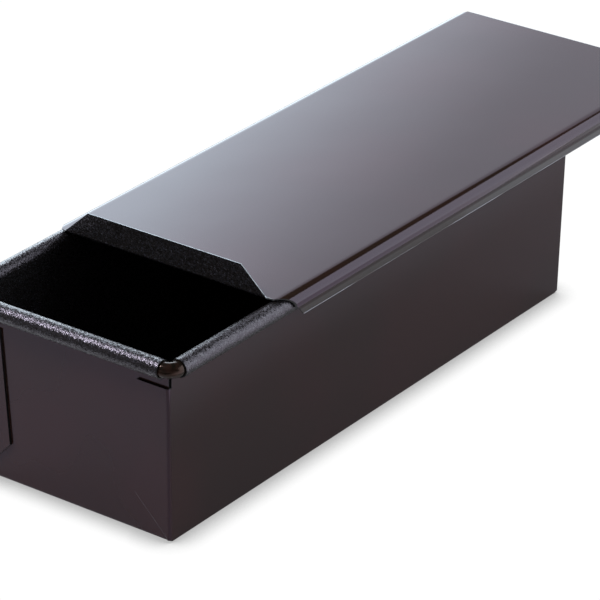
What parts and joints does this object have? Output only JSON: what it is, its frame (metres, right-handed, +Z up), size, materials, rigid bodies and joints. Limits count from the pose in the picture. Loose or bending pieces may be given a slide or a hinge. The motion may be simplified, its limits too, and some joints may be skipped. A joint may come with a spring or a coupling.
{
  "type": "loaf pan with sliding lid",
  "caption": "Long straight-sided loaf pan of folded sheet steel with a curled wire rim, and a flat lid whose rolled edges slide along the rim.",
  "frame": {"origin": "centre of the base's underside, on the table", "axes": "+X along the pan towards the end that the lid slides off, -Y the long side that faces the viewer in the picture, +Z up"},
  "size_m": [0.37, 0.1206, 0.0971],
  "materials": {
    "pan_sheet": "satin",
    "lid_sheet": "satin",
    "rim_wire": "gloss"
  },
  "bodies": {
    "pan": {"base_panel": "pan_sheet", "long_wall_right": "pan_sheet", "long_wall_left": "pan_sheet", "end_wall_near": "pan_sheet", "end_wall_far": "pan_sheet", "gusset_near_right": "pan_sheet", "gusset_near_left": "pan_sheet", "gusset_far_right": "pan_sheet", "gusset_far_left": "pan_sheet", "rim_curl_right": "pan_sheet", "rim_curl_left": "pan_sheet", "rim_curl_near": "pan_sheet", "rim_curl_far": "pan_sheet", "rim_wire": "rim_wire"},
    "lid": {"lid_panel": "lid_sheet", "lid_rail_right": "lid_sheet", "lid_rail_left": "lid_sheet", "lid_tab": "lid_sheet", "lid_stop_lip": "lid_sheet"}
  },
  "joints": [
    {"name": "lid_slide", "type": "slide", "parent": "pan", "child": "lid", "axis": [1, 0, 0], "range_m": [-0.0707, 0.1793]}
  ]
}
